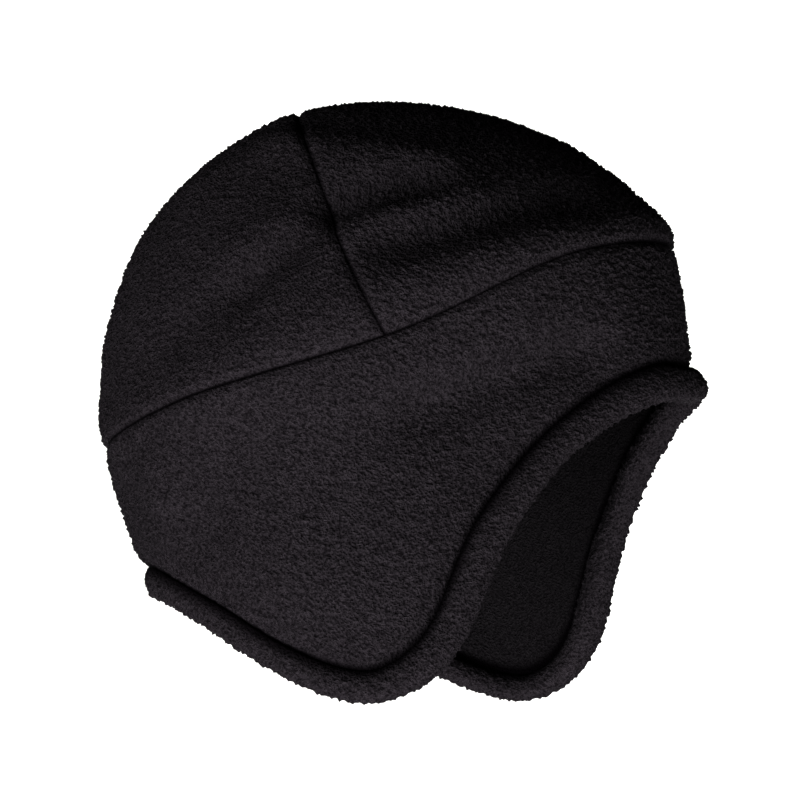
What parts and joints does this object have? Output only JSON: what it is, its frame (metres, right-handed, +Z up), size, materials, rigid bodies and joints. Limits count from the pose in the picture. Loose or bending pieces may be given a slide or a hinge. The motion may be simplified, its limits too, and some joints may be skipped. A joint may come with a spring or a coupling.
{
  "type": "earflap fleece beanie",
  "caption": "Close-fitting panelled fleece cap in its worn form, with a band cut in one with two ear flaps and a rolled binding round the hem.",
  "frame": {"origin": "where the top of the wearer's head touches the inside of the crown", "axes": "+Z up, the wearer faces -Y, +X to the wearer's left"},
  "size_m": [0.1684, 0.2067, 0.1994],
  "materials": {
    "crown_fleece": "brushed black fleece",
    "band_fleece": "brushed black fleece",
    "binding_fleece": "brushed black fleece"
  },
  "bodies": {
    "root": {"crown_front": "crown_fleece", "crown_back_left": "crown_fleece", "crown_back_right": "crown_fleece", "band": "band_fleece", "hem_binding": "binding_fleece"}
  },
  "joints": []
}
